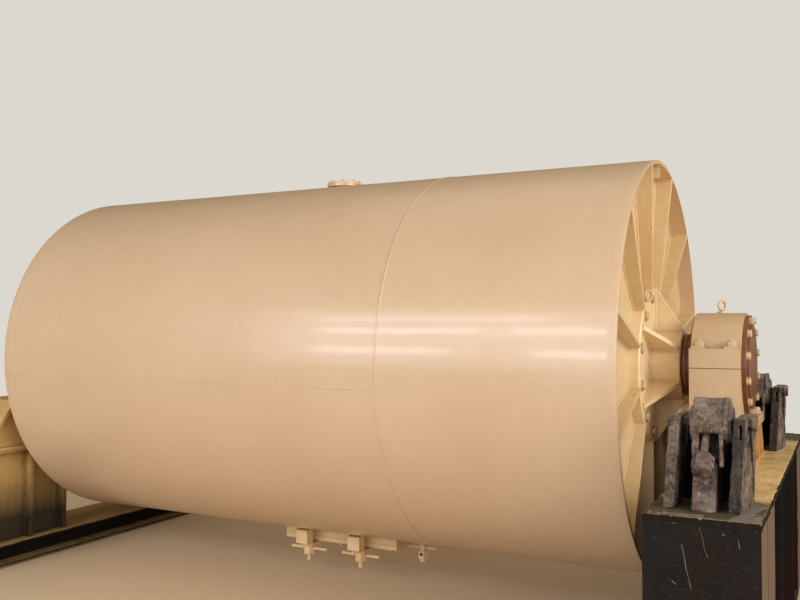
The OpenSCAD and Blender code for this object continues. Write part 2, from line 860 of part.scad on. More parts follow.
shell_long_course();
shell_short_course();
at_left() end_plate();  // end_plate_left
at_right() end_plate();  // end_plate_right
at_left() end_ribs();  // end_ribs_left
at_right() end_ribs();  // end_ribs_right
at_left() trunnion();  // trunnion_left
at_right() trunnion();  // trunnion_right
at_left() hub_bolts();  // hub_bolts_left
at_right() hub_bolts();  // hub_bolts_right
at_left() seal_collar();  // seal_collar_left
at_right() seal_collar();  // seal_collar_right
port_neck();
port_cover();
hatch_frame();
hatch_cover();
hatch_clamps();
hatch_screws();
drain_plug();
at_left() bearing_base();  // bearing_base_left
at_right() bearing_base();  // bearing_base_right
at_left() bearing_cap();  // bearing_cap_left
at_right() bearing_cap();  // bearing_cap_right
at_left() roller_bearing();  // roller_bearing_left
at_right() roller_bearing();  // roller_bearing_right
at_left() inner_cover();  // inner_cover_left
at_right() inner_cover();  // inner_cover_right
at_left() outer_cover();  // outer_cover_left
at_right() outer_cover();  // outer_cover_right
at_left() cap_bolts();  // cap_bolts_left
at_right() cap_bolts();  // cap_bolts_right
at_left() lifting_eye();  // lifting_eye_left
at_right() lifting_eye();  // lifting_eye_right
saddle_frame();
saddle_webs();
columns();
base_beam();
pedestal();
stand_top();
stand_box();
bracket_uprights();
bracket_posts();
bracket_hoods();
bracket_pins();
swing_bolts();
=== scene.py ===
"""Looks of a ball mill: a welded drum on two trunnion bearings, in metres, on its CAD frame."""

import math

import bmesh
import bpy
from mathutils import Matrix, Vector, noise


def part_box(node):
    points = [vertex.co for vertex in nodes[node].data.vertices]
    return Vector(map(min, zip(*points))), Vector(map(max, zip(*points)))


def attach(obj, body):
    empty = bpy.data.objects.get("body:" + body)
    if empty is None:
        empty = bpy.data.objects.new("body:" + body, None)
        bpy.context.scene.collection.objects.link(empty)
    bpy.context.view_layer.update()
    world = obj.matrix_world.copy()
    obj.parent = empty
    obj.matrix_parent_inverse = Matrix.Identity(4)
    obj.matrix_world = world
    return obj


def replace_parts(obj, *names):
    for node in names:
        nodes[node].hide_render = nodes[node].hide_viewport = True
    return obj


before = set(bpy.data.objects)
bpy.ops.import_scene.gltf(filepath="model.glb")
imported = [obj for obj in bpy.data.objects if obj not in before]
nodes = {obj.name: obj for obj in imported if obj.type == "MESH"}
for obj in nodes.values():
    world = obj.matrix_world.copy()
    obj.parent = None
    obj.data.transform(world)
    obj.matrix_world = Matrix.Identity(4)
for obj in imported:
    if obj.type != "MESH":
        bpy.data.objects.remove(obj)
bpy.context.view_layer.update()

# Sizes of the frame that the added pieces are seated on, in metres
shell_low, shell_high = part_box("shell_short_course")
RIM = shell_high.x
SEAM = shell_low.x
DRUM_R = (shell_high.z - shell_low.z) / 2
AXIS = (shell_high.z + shell_low.z) / 2
SHELL_T = 0.018
SHELL_IR = DRUM_R - SHELL_T
END_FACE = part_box("end_plate_right")[1].x
HUB_T = 0.055
HUB_FACE = END_FACE + HUB_T
HUB_R = 0.42
HUB_BOLTS = 12
HUB_BOLTS_R = 0.3675
HUB_TUBE_R = 0.181
HUB_TUBE_END = RIM + 0.110
RIBS = 12
RIB_T = 0.020
GUSSETS = 6
GUSSET_T = 0.024
COVER_RISE = 0.009
COVER_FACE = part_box("outer_cover_right")[1].x - COVER_RISE
COVER_SCREWS = 12
COVER_SCREWS_R = 0.243
PORT_BOLTS = 8
PORT_BOLTS_R = 0.092
PORT_LOW, PORT_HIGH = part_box("port_cover")
PLUG_LOW, PLUG_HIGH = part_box("drain_plug")
BEARING_LOW, BEARING_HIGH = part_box("bearing_base_right")
CAP_LOW, CAP_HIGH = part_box("bearing_cap_right")
BEAM_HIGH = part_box("base_beam")[1]
TOP_LOW, TOP_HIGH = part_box("stand_top")
HOOD_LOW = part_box("bracket_hoods")[0]
BRACKET_FRONTS = (-1.298, 0.510)

# A Mix node's sockets by number, because their names repeat
FLOAT_A, FLOAT_B = 2, 3
COLOUR_A, COLOUR_B, COLOUR_OUT = 6, 7, 2

MERGE_DISTANCE = 0.00001
EDGE_ANGLE = math.radians(32)


def linear(hex_colour):
    """An sRGB hex colour as the linear colour that Blender works in."""
    channels = [int(hex_colour[i:i + 2], 16) / 255 for i in (1, 3, 5)]
    return tuple(c / 12.92 if c <= 0.04045 else ((c + 0.055) / 1.055) ** 2.4
                 for c in channels) + (1.0,)


def add(tree, kind, inputs=None, out=0, **settings):
    """Adds a node with its settings, fills its inputs with values or links, and gives an output."""
    node = tree.nodes.new(kind)
    for name, value in settings.items():
        setattr(node, name, value)
    for key, value in (inputs or {}).items():
        if isinstance(value, bpy.types.NodeSocket):
            tree.links.new(value, node.inputs[key])
        else:
            node.inputs[key].default_value = value
    return node.outputs[out] if node.outputs else node


def bare_finish(name):
    """A material with its shader, and the measures of a surface that stains are placed by."""
    finish = bpy.data.materials.new(name)
    finish.use_nodes = True
    tree = finish.node_tree
    place = add(tree, "ShaderNodeTexCoord", out="Object")
    facing = add(tree, "ShaderNodeNewGeometry", out="Normal")
    measures = {"place": place}
    for axis in "XYZ":
        along = add(tree, "ShaderNodeSeparateXYZ", {0: place}, axis)
        measures[axis] = add(tree, "ShaderNodeMath", {0: along}, operation="ABSOLUTE")
        measures["faces " + axis] = add(tree, "ShaderNodeSeparateXYZ", {0: facing}, axis)
    return finish, tree, tree.nodes["Principled BSDF"], measures


def stained(tree, skin, measures, ragged, stains):
    """Lays stains over a skin: each has a colour, a strength and the ranges of measures it fills.
    X, Y and Z are coordinates without their signs, and the edges of their ranges are ragged."""
    for colour, strength, ranges in stains:
        share = strength
        for measure, (start, full) in ranges.items():
            value = measures[measure]
            if measure in "XYZ":
                value = add(tree, "ShaderNodeMath", {0: value, 1: ragged}, operation="ADD")
            held = add(tree, "ShaderNodeMapRange", {
                "Value": value, "From Min": start, "From Max": full})
            share = add(tree, "ShaderNodeMath", {0: held, 1: share}, operation="MULTIPLY")
        skin = add(tree, "ShaderNodeMix", {
            "Factor": share, COLOUR_A: skin, COLOUR_B: linear(colour)},
            COLOUR_OUT, data_type="RGBA")
    return skin


def painted_steel(name, colour, deep, dust="#a98d64", dust_share=0.25, grime_and_shade="#6b4a26",
                  grime_and_shade_share=0.4, rust="#7b4520", rust_share=0.5, roughness=0.3, coat=0.3,
                  coat_rough=0.16, peel=0.05, streaks=0.06, stains=()):
    """Alkyd enamel sprayed over primed steel plate: a glossy skin with uneven tone, dust on what
    faces up, grime and painted shade in the corners, and small rust spots where the skin is broken."""
    finish, tree, shader, measures = bare_finish(name)
    place = measures["place"]

    # Coats of paint overlap in patches about 0.7 m across, with blotches of 60 mm in them
    coats = add(tree, "ShaderNodeTexNoise", {"Vector": place, "Scale": 1.4, "Detail": 3.0})
    blotches = add(tree, "ShaderNodeTexNoise", {"Vector": place, "Scale": 17.0, "Detail": 4.0})
    tone = add(tree, "ShaderNodeMix", {"Factor": 0.35, FLOAT_A: coats, FLOAT_B: blotches})
    tone = add(tree, "ShaderNodeMapRange", {"Value": tone, "From Min": 0.36, "From Max": 0.64})
    skin = add(tree, "ShaderNodeMix", {
        "Factor": tone, COLOUR_A: linear(colour), COLOUR_B: linear(deep)},
        COLOUR_OUT, data_type="RGBA")

    # Dust settles on what faces up, in streaks that run down the sides
    runs = add(tree, "ShaderNodeMapping", {"Vector": place, "Scale": (9.0, 9.0, 0.7)})
    runs = add(tree, "ShaderNodeTexNoise", {
        "Vector": runs, "Scale": 3.0, "Detail": 5.0, "Roughness": 0.6})
    uneven = add(tree, "ShaderNodeMapRange", {
        "Value": runs, "From Min": 0.3, "From Max": 0.6, "To Min": 0.45})
    level = add(tree, "ShaderNodeMapRange", {
        "Value": measures["faces Z"], "From Min": 0.35, "From Max": 1.0, "To Max": dust_share})
    settled = add(tree, "ShaderNodeMath", {0: level, 1: uneven}, operation="MULTIPLY")

    # Grime, and painted shade, gather within about 50 mm of an inner corner
    corner_grime_and_shade = add(tree, "ShaderNodeAmbientOcclusion", {"Distance": 0.05}, "AO",
                 samples=6, only_local=True)
    corner_grime_and_shade = add(tree, "ShaderNodeMapRange", {
        "Value": corner_grime_and_shade, "From Min": 0.95, "From Max": 0.45, "To Max": grime_and_shade_share})
    patchy = add(tree, "ShaderNodeTexNoise", {"Vector": place, "Scale": 12.0})
    patchy = add(tree, "ShaderNodeMapRange", {
        "Value": patchy, "From Min": 0.35, "From Max": 0.65, "To Min": 0.3})
    corner_grime_and_shade = add(tree, "ShaderNodeMath", {0: corner_grime_and_shade, 1: patchy}, operation="MULTIPLY")

    # Rust spots are 3 to 15 mm wide and come in groups
    spots = add(tree, "ShaderNodeTexNoise", {"Vector": place, "Scale": 55.0, "Detail": 3.0})
    spots = add(tree, "ShaderNodeMapRange", {"Value": spots, "From Min": 0.69, "From Max": 0.74})
    groups = add(tree, "ShaderNodeTexNoise", {"Vector": place, "Scale": 2.6})
    groups = add(tree, "ShaderNodeMapRange", {
        "Value": groups, "From Min": 0.5, "From Max": 0.66, "To Max": rust_share})
    spots = add(tree, "ShaderNodeMath", {0: spots, 1: groups}, operation="MULTIPLY")

    for share, over in ((settled, dust), (corner_grime_and_shade, grime_and_shade), (spots, rust)):
        skin = add(tree, "ShaderNodeMix", {
            "Factor": share, COLOUR_A: skin, COLOUR_B: linear(over)},
            COLOUR_OUT, data_type="RGBA")
    ragged = add(tree, "ShaderNodeMapRange", {
        "Value": runs, "From Min": 0.3, "From Max": 0.7, "To Min": -streaks, "To Max": streaks})
    skin = stained(tree, skin, measures, ragged, stains)
    dull = add(tree, "ShaderNodeMath", {0: settled, 1: spots}, operation="ADD")
    rough = add(tree, "ShaderNodeMath", {0: dull, 1: 0.6, 2: roughness}, operation="MULTIPLY_ADD")
    tree.links.new(skin, shader.inputs["Base Color"])
    tree.links.new(rough, shader.inputs["Roughness"])
    shader.inputs["IOR"].default_value = 1.5
    shader.inputs["Coat Weight"].default_value = coat
    shader.inputs["Coat Roughness"].default_value = coat_rough

    # Real orange peel is 1 to 2 mm across and would not show, so it is drawn 9 mm across
    skinned = add(tree, "ShaderNodeTexNoise", {"Vector": place, "Scale": 110.0})
    bump = add(tree, "ShaderNodeBump", {"Strength": peel, "Distance": 0.002, "Height": skinned})
    tree.links.new(bump, shader.inputs["Normal"])
    return finish


def worn_steel(name, colour, light, rust, rust_from=0.52, roughness=0.6, metallic=0.0,
               dust="#8a7c62", dust_share=0.4, scuffs=0.5, relief=0.35, spread=6.0, gloss=0.25,
               ragged=0.08, stains=()):
    """Old steel under grease and dust: a dark skin with pale scuffs, red rust coming through
    in patches, a dusty top and a rough, scaly surface."""
    finish, tree, shader, measures = bare_finish(name)
    place = measures["place"]

    # Patches of grease are about 1/spread metres across, and rust patches twice that
    mottle = add(tree, "ShaderNodeTexNoise", {
        "Vector": place, "Scale": spread, "Detail": 6.0, "Roughness": 0.62})
    tone = add(tree, "ShaderNodeMapRange", {"Value": mottle, "From Min": 0.35, "From Max": 0.68})
    skin = add(tree, "ShaderNodeMix", {
        "Factor": tone, COLOUR_A: linear(colour), COLOUR_B: linear(light)},
        COLOUR_OUT, data_type="RGBA")
    patches = add(tree, "ShaderNodeTexNoise", {
        "Vector": place, "Scale": spread * 0.55, "Detail": 7.0, "Roughness": 0.68})
    patches = add(tree, "ShaderNodeMapRange", {
        "Value": patches, "From Min": rust_from, "From Max": rust_from + 0.16})

    # Real pits and scuffs are 3 to 10 mm wide; they are drawn about twice as wide, to show
    pits = add(tree, "ShaderNodeTexNoise", {
        "Vector": place, "Scale": 30.0 + 2.0 * spread, "Detail": 5.0, "Roughness": 0.75})
    chips = add(tree, "ShaderNodeMapRange", {
        "Value": pits, "From Min": 0.55, "From Max": 0.66, "To Max": scuffs})
    holes = add(tree, "ShaderNodeMapRange", {
        "Value": pits, "From Min": 0.46, "From Max": 0.36, "To Max": scuffs})
    level = add(tree, "ShaderNodeMapRange", {
        "Value": measures["faces Z"], "From Min": 0.5, "From Max": 0.95, "To Max": dust_share})
    uneven = add(tree, "ShaderNodeMapRange", {
        "Value": mottle, "From Min": 0.3, "From Max": 0.55, "To Min": 0.4})
    settled = add(tree, "ShaderNodeMath", {0: level, 1: uneven}, operation="MULTIPLY")
    for share, over in ((patches, rust), (chips, dust), (holes, "#1d1a19"), (settled, dust)):
        skin = add(tree, "ShaderNodeMix", {
            "Factor": share, COLOUR_A: skin, COLOUR_B: linear(over)},
            COLOUR_OUT, data_type="RGBA")
    edge = add(tree, "ShaderNodeMapRange", {
        "Value": mottle, "From Min": 0.3, "From Max": 0.7, "To Min": -ragged, "To Max": ragged})
    skin = stained(tree, skin, measures, edge, stains)
    rough = add(tree, "ShaderNodeMapRange", {
        "Value": mottle, "From Min": 0.3, "From Max": 0.7,
        "To Min": roughness - 0.1, "To Max": roughness + 0.12})
    tree.links.new(skin, shader.inputs["Base Color"])
    tree.links.new(rough, shader.inputs["Roughness"])
    shader.inputs["Metallic"].default_value = metallic
    shader.inputs["Specular IOR Level"].default_value = gloss

    # Scale lies in flakes of about 25 mm, with the pits in them
    flakes = add(tree, "ShaderNodeTexNoise", {
        "Vector": place, "Scale": 38.0, "Detail": 5.0, "Roughness": 0.65})
    scale = add(tree, "ShaderNodeMix", {"Factor": 0.4, FLOAT_A: flakes, FLOAT_B: pits})
    bump = add(tree, "ShaderNodeBump", {"Strength": relief, "Distance": 0.006, "Height": scale})
    tree.links.new(bump, shader.inputs["Normal"])
    return finish


def ground_steel(name, colour, dull, roughness, stain="#6f5436"):
    """Ground bearing steel: a metal face with a thin film of oil and a few brown stains."""
    finish, tree, shader, measures = bare_finish(name)
    place = measures["place"]
    film = add(tree, "ShaderNodeTexNoise", {"Vector": place, "Scale": 22.0, "Detail": 4.0})
    tone = add(tree, "ShaderNodeMapRange", {"Value": film, "From Min": 0.35, "From Max": 0.65})
    skin = add(tree, "ShaderNodeMix", {
        "Factor": tone, COLOUR_A: linear(colour), COLOUR_B: linear(dull)},
        COLOUR_OUT, data_type="RGBA")
    marks = add(tree, "ShaderNodeTexNoise", {
        "Vector": place, "Scale": 31.0, "Detail": 5.0, "Roughness": 0.65})
    marks = add(tree, "ShaderNodeMapRange", {"Value": marks, "From Min": 0.56, "From Max": 0.66})
    skin = add(tree, "ShaderNodeMix", {
        "Factor": marks, COLOUR_A: skin, COLOUR_B: linear(stain)}, COLOUR_OUT, data_type="RGBA")
    rough = add(tree, "ShaderNodeMapRange", {
        "Value": film, "From Min": 0.3, "From Max": 0.7,
        "To Min": roughness, "To Max": roughness + 0.16})
    tree.links.new(skin, shader.inputs["Base Color"])
    tree.links.new(rough, shader.inputs["Roughness"])
    shader.inputs["Metallic"].default_value = 1.0
    return finish


drum_enamel = painted_steel(
    "drum enamel, sprayed cream", "#d9bc9c", "#d3b592", dust_share=0.1, grime_and_shade_share=0.0,
    rust_share=0.1, roughness=0.32, coat=0.42, coat_rough=0.11)
end_enamel = painted_steel(
    "end enamel, brushed cream", "#e3cba2", "#d7b785", grime_and_shade="#7d4a1c", grime_and_shade_share=0.5,
    rust_share=0.9, roughness=0.36, coat=0.2)
# The hub's cream is lighter than the end plates': painted light on its tube and gussets
hub_enamel_painted_light = painted_steel(
    "hub enamel, brushed cream", "#f4deb4", "#e8c893", grime_and_shade="#9c6c36", grime_and_shade_share=0.35,
    rust_share=0.9, roughness=0.36, coat=0.2)
housing_enamel = painted_steel(
    "casting enamel, brushed cream", "#d0b794", "#c9ad88", grime_and_shade="#5d4226", grime_and_shade_share=0.5,
    rust_share=0.5, roughness=0.42, coat=0.15, peel=0.12)
# The covers' brown is painted shade, for faces turned from the light; their corners hold grime
cover_enamel_painted_shade = painted_steel(
    "cover enamel, oily brown", "#84502f", "#643a20", grime_and_shade="#2e1d10", grime_and_shade_share=0.7,
    rust_share=0.7, roughness=0.4, coat=0.1)
pedestal_enamel = painted_steel(
    "pedestal enamel, dusty cream", "#deb078", "#ca9a5c", grime_and_shade="#4a3320", grime_and_shade_share=0.7,
    rust_share=0.7, roughness=0.5, coat=0.1)
stand_enamel = painted_steel(
    "stand enamel, stained cream", "#dcb878", "#c19c61", grime_and_shade="#2a2118", grime_and_shade_share=0.9,
    rust_share=0.9, roughness=0.5, coat=0.05, streaks=0.025, stains=(
        ("#7d6238", 0.5, {"Z": (0.66, 0.50)}),
        ("#1c1a18", 0.96, {"Z": (0.54, 0.30)})))
hatch_enamel = painted_steel(
    "hatch enamel, brushed cream", "#efd5ab", "#dfba88", grime_and_shade="#5f4527", grime_and_shade_share=0.7,
    rust_share=0.9, roughness=0.4, coat=0.15)
pale_bolts = painted_steel(
    "bolts, painted over", "#e9d3b0", "#cdae80", grime_and_shade="#4f3921", grime_and_shade_share=0.9,
    rust_share=0.8, roughness=0.35, coat=0.2)
# Grime in the housings' joints; the same dark is painted shade in the drain plug's hole
joint_grime_and_hole_shade = worn_steel(
    "joint, packed with grime", "#4e3820", "#6b4e2c", "#3d2a18", 0.6, 0.8, dust_share=0.1)
# Oil round the hub's bolts, which also stands for the painted shadow round their heads
oil_and_painted_shadow = worn_steel(
    "oil stains round the bolts", "#8a6234", "#b08a55", "#5d3c1c", 0.5, 0.5, dust_share=0.1,
    scuffs=0.4, gloss=0.5)
collar_oxide = worn_steel(
    "collar, oiled oxide", "#5d3826", "#8a5a38", "#3d2417", 0.6, 0.42, 0.3, dust_share=0.1,
    scuffs=0.2, relief=0.1, gloss=0.5)
beam_steel = worn_steel(
    "beam, tarred steel", "#151312", "#201d1b", "#2a201b", 0.62, 0.85, dust="#a48c5e",
    dust_share=0.9, scuffs=0.08, gloss=0.1, ragged=0.004, stains=(
        ("#a38b5c", 0.75, {"Z": (BEAM_HIGH.z - 0.014, BEAM_HIGH.z - 0.008)}),
        ("#8f7a55", 0.6, {"Z": (0.016, 0.010)})))
box_steel = worn_steel(
    "stand, tarred steel", "#1a1918", "#262423", "#2a1a17", 0.54, 0.85, dust="#6f6659",
    dust_share=0.35, scuffs=0.12, relief=0.4, gloss=0.12, stains=(
        ("#341715", 0.6, {"faces Y": (-0.5, -0.9), "Z": (0.62, 0.2)}),
        ("#7a6757", 0.8, {"faces X": (0.5, 0.9), "Y": (0.83, 0.835)})))
top_steel = worn_steel(
    "stand top, dusty steel", "#8c7854", "#ab9262", "#6a4f3b", 0.62, 0.85, dust="#dec28c",
    dust_share=0.92, scuffs=0.5, relief=0.5, gloss=0.15, stains=(
        ("#2c2824", 0.88, {"faces Z": (0.5, 0.9), "Y": (0.96, 1.10)}),
        ("#0f0e0d", 0.97, {"faces Z": (0.6, 0.3)})))
bracket_steel = worn_steel(
    "bracket, greasy steel", "#372f2a", "#8f7d71", "#66452f", 0.56, 0.66, dust="#a99a8f",
    dust_share=0.35, scuffs=0.75, relief=0.8, spread=10.0, gloss=0.3)
upright_steel = worn_steel(
    "upright, pitted steel", "#332c27", "#8d7e72", "#5d4031", 0.6, 0.7, dust="#94877a",
    dust_share=0.3, scuffs=0.85, relief=0.9, spread=10.0, gloss=0.2, stains=(
        # The right upright's front is darker: grease, and painted shade
        ("#211d1a", 0.72, {"faces Y": (-0.5, -0.8), "X": (2.40, 2.42)}),))
# The brackets' backs are near-black: painted shade for the deep shadow behind the posts
sheet_black_painted_shade = worn_steel(
    "backs of the brackets, sooty", "#100e0d", "#191614", "#1f1713", 0.6, 0.9, dust_share=0.05,
    scuffs=0.05, gloss=0.1)
scrap_grey = worn_steel(
    "scrap plate, pale grey", "#655b55", "#847971", "#4b3a32", 0.6, 0.8, dust="#8d827a",
    dust_share=0.4, scuffs=0.6, relief=0.4, spread=20.0)
scratch_grey = worn_steel(
    "scratches, dull steel", "#5d534c", "#85786e", "#3d2f29", 0.55, 0.8, dust_share=0.1,
    scuffs=0.8, spread=30.0)
bearing_metal = ground_steel("bearing, ground steel", "#c7c4bd", "#a9a59c", 0.25)


def settle(name, body, mesh, finish=None):
    """Makes a mesh a piece that rides on a body."""
    if finish:
        mesh.materials.clear()
        mesh.materials.append(finish)
    piece = bpy.data.objects.new(name, mesh)
    bpy.context.scene.collection.objects.link(piece)
    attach(piece, body)
    return piece


def both_ends(name, body, mesh, finish):
    """Settles a right end's mesh and its mirror image at the left end."""
    image = mesh.copy()
    image.transform(Matrix.Scale(-1, 4, Vector((1, 0, 0))))
    image.flip_normals()
    settle(name + "_right", body, mesh, finish)
    settle(name + "_left", body, image, finish)


def closed_mesh(name, made, sharp=40):
    """The mesh of a closed bmesh, its faces turned outwards and its edges sharp past an angle."""
    bmesh.ops.recalc_face_normals(made, faces=made.faces)
    mesh = bpy.data.meshes.new(name)
    made.to_mesh(mesh)
    made.free()
    mesh.shade_smooth()
    mesh.set_sharp_from_angle(angle=math.radians(sharp))
    return mesh


def worn_edges(piece, width, segments=2):
    """Rounds the edges of a piece."""
    soften = piece.modifiers.new("worn edges", "BEVEL")
    soften.width = width
    soften.segments = segments
    soften.limit_method = "ANGLE"
    soften.angle_limit = EDGE_ANGLE
    soften.harden_normals = True


def rounded(node, body, width, finish, segments=2):
    """A copy of a CAD node with its edges rounded, as cut, welded and painted plate has."""
    mesh = nodes[node].data.copy()
    cleaned = bmesh.new()
    cleaned.from_mesh(mesh)
    bmesh.ops.remove_doubles(cleaned, verts=cleaned.verts, dist=MERGE_DISTANCE)
    bmesh.ops.dissolve_limit(
        cleaned, angle_limit=math.radians(0.5), verts=cleaned.verts, edges=cleaned.edges)
    cleaned.to_mesh(mesh)
    cleaned.free()
    if "custom_normal" in mesh.attributes:
        mesh.attributes.remove(mesh.attributes["custom_normal"])
    mesh.shade_smooth()
    mesh.set_sharp_from_angle(angle=EDGE_ANGLE)
    piece = settle(node + "_dressed", body, mesh, finish)
    worn_edges(piece, width, segments)
    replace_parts(piece, node)


def battered(node, finish, grain, depth, fit=None):
    """A copy of a CAD node with hacked edges and scaly faces, dented by a few millimetres."""
    made = bmesh.new()
    made.from_mesh(nodes[node].data)
    bmesh.ops.remove_doubles(made, verts=made.verts, dist=MERGE_DISTANCE)
    if fit:
        for vert in made.verts:
            fit(vert.co)
    bmesh.ops.triangulate(made, faces=made.faces)
    for _ in range(9):
        long_edges = [edge for edge in made.edges if edge.calc_length() > grain]
        if not long_edges:
            break
        bmesh.ops.subdivide_edges(made, edges=long_edges, cuts=1)
        bmesh.ops.triangulate(made, faces=made.faces)
    made.normal_update()
    for vert in made.verts:
        dent = noise.noise(vert.co * 16.0) + 0.6 * noise.noise(vert.co * 47.0)
        vert.co += vert.normal * depth * dent
    mesh = closed_mesh(node + "_battered", made, 45)
    piece = settle(node + "_dressed", "stand", mesh, finish)
    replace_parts(piece, node)


def path_mesh(paths):
    """Lines of points, each with a flag that says if it closes, as a mesh of edges."""
    points, edges = [], []
    for line, closed in paths:
        start = len(points)
        points += line
        edges += [(start + i, start + i + 1) for i in range(len(line) - 1)]
        if closed:
            edges.append((start + len(line) - 1, start))
    mesh = bpy.data.meshes.new("path")
    mesh.from_pydata(points, edges, [])
    return mesh


def grown(tree, mesh, inputs):
    """Runs a Geometry Nodes tree on a mesh and gives the plain mesh that comes out."""
    carrier = bpy.data.objects.new("carrier", mesh)
    bpy.context.scene.collection.objects.link(carrier)
    modifier = carrier.modifiers.new("tree", "NODES")
    modifier.node_group = tree
    identifiers = {s.name: s.identifier for s in tree.interface.items_tree if s.in_out == "INPUT"}
    for name, value in inputs.items():
        modifier[identifiers[name]] = value
    evaluated = carrier.evaluated_get(bpy.context.evaluated_depsgraph_get())
    made = bpy.data.meshes.new_from_object(evaluated)
    carrier.modifiers.remove(modifier)
    bpy.data.objects.remove(carrier)
    return made


def tree_with(name, inputs):
    """A Geometry Nodes tree with named inputs, its group input's sockets and its group output."""
    tree = bpy.data.node_groups.new(name, "GeometryNodeTree")
    tree.interface.new_socket("Geometry", in_out="INPUT", socket_type="NodeSocketGeometry")
    for label, kind, value in inputs:
        socket = tree.interface.new_socket(
            label, in_out="INPUT", socket_type="NodeSocket" + kind)
        if value is not None:
            socket.default_value = value
    tree.interface.new_socket("Geometry", in_out="OUTPUT", socket_type="NodeSocketGeometry")
    return tree, add(tree, "NodeGroupInput").node.outputs, add(tree, "NodeGroupOutput").inputs


def weld_bead_tree():
    """A bead laid along every line, its width rippling as a hand-held torch leaves it."""
    tree, given, out = tree_with("weld bead", [
        ("Bead Radius", "Float", 0.006), ("Ripple Length", "Float", 0.012),
        ("Ripple Share", "Float", 0.25), ("Sides", "Int", 6), ("Seed", "Int", 1),
        ("Finish", "Material", None)])
    line = add(tree, "GeometryNodeMeshToCurve", {"Mesh": given["Geometry"]})
    line = add(tree, "GeometryNodeResampleCurve", {
        "Curve": line, "Length": given["Ripple Length"]}, mode="LENGTH")
    low = add(tree, "ShaderNodeMath", {0: 1.0, 1: given["Ripple Share"]}, operation="SUBTRACT")
    high = add(tree, "ShaderNodeMath", {0: 1.0, 1: given["Ripple Share"]}, operation="ADD")
    swell = add(tree, "FunctionNodeRandomValue", {2: low, 3: high, "Seed": given["Seed"]}, 1,
                data_type="FLOAT")
    line = add(tree, "GeometryNodeSetCurveRadius", {"Curve": line, "Radius": swell})
    section = add(tree, "GeometryNodeCurvePrimitiveCircle", {
        "Resolution": given["Sides"], "Radius": given["Bead Radius"]})
    bead = add(tree, "GeometryNodeCurveToMesh", {
        "Curve": line, "Profile Curve": section, "Fill Caps": True})
    bead = add(tree, "GeometryNodeSetShadeSmooth", {"Geometry": bead, "Shade Smooth": True})
    bead = add(tree, "GeometryNodeRealizeInstances", {0: bead})
    bead = add(tree, "GeometryNodeSetMaterial", {"Geometry": bead, "Material": given["Finish"]})
    tree.links.new(bead, out[0])
    return tree


def bolt_tree():
    """A chamfered hexagon head on its washer at every point, upright along Z."""
    tree, given, out = tree_with("hexagon bolts", [
        ("Thread", "Float", 0.016), ("Head Height", "Float", 0.010),
        ("Washer Radius", "Float", 0.017), ("Washer Height", "Float", 0.003),
        ("Turn Seed", "Int", 1), ("Finish", "Material", None)])
    thread, height, rise = given["Thread"], given["Head Height"], given["Washer Height"]
    across = add(tree, "ShaderNodeMath", {0: thread, 1: 0.95}, operation="MULTIPLY")
    crown_r = add(tree, "ShaderNodeMath", {0: thread, 1: 0.78}, operation="MULTIPLY")
    body_h = add(tree, "ShaderNodeMath", {0: height, 1: 0.82}, operation="MULTIPLY")
    crown_h = add(tree, "ShaderNodeMath", {0: height, 1: 0.18}, operation="MULTIPLY")
    head_z = add(tree, "ShaderNodeMath", {0: body_h, 1: 0.5, 2: rise}, operation="MULTIPLY_ADD")
    crown_z = add(tree, "ShaderNodeMath", {0: body_h, 1: rise}, operation="ADD")
    half = add(tree, "ShaderNodeMath", {0: rise, 1: 0.5}, operation="MULTIPLY")
    head = add(tree, "GeometryNodeMeshCylinder", {
        "Vertices": 6, "Radius": across, "Depth": body_h})
    crown = add(tree, "GeometryNodeMeshCone", {
        "Vertices": 6, "Radius Top": crown_r, "Radius Bottom": across, "Depth": crown_h})
    washer = add(tree, "GeometryNodeMeshCylinder", {
        "Vertices": 24, "Radius": given["Washer Radius"], "Depth": rise})
    joined = add(tree, "GeometryNodeJoinGeometry")
    for part, z in ((head, head_z), (crown, crown_z), (washer, half)):
        shift = add(tree, "ShaderNodeCombineXYZ", {"Z": z})
        moved = add(tree, "GeometryNodeTransform", {"Geometry": part, "Translation": shift})
        tree.links.new(moved, joined.node.inputs[0])
    points = add(tree, "GeometryNodeMeshToPoints", {"Mesh": given["Geometry"]})
    turn = add(tree, "FunctionNodeRandomValue", {2: 0.0, 3: 1.05, "Seed": given["Turn Seed"]}, 1,
               data_type="FLOAT")
    spun = add(tree, "ShaderNodeCombineXYZ", {"Z": turn})
    placed = add(tree, "GeometryNodeInstanceOnPoints", {
        "Points": points, "Instance": joined, "Rotation": spun})
    real = add(tree, "GeometryNodeRealizeInstances", {0: placed})
    finished = add(tree, "GeometryNodeSetMaterial", {
        "Geometry": real, "Material": given["Finish"]})
    tree.links.new(finished, out[0])
    return tree


WELD = weld_bead_tree()
BOLT = bolt_tree()


def bolts_at(points, thread, finish, seed, along_x=False):
    """Hexagon heads with washers at points, upright or facing +X."""
    if along_x:
        points = [(-z, y, x) for x, y, z in points]
    mesh = grown(BOLT, path_mesh([(points, False)]), {
        "Thread": thread, "Head Height": thread * 0.75, "Washer Radius": thread * 1.1,
        "Washer Height": thread * 0.2, "Turn Seed": seed, "Finish": finish})
    if along_x:
        mesh.transform(Matrix.Rotation(math.pi / 2, 4, "Y"))
    return mesh


def on_circle(x, radius, degrees):
    """A point about the drum's axis, its angle from the top towards +Y."""
    angle = math.radians(degrees)
    return (x, radius * math.sin(angle), AXIS + radius * math.cos(angle))


def circle(x, radius, count=240, turn=0.0):
    """Points evenly round the drum's axis."""
    return [on_circle(x, radius, turn + 360 * k / count) for k in range(count)]


def beside(x, radius, degrees, aside):
    """A point beside a radial plate's middle plane."""
    angle = math.radians(degrees)
    y = radius * math.sin(angle) + aside * math.cos(angle)
    z = radius * math.cos(angle) - aside * math.sin(angle)
    return (x, y, AXIS + z)


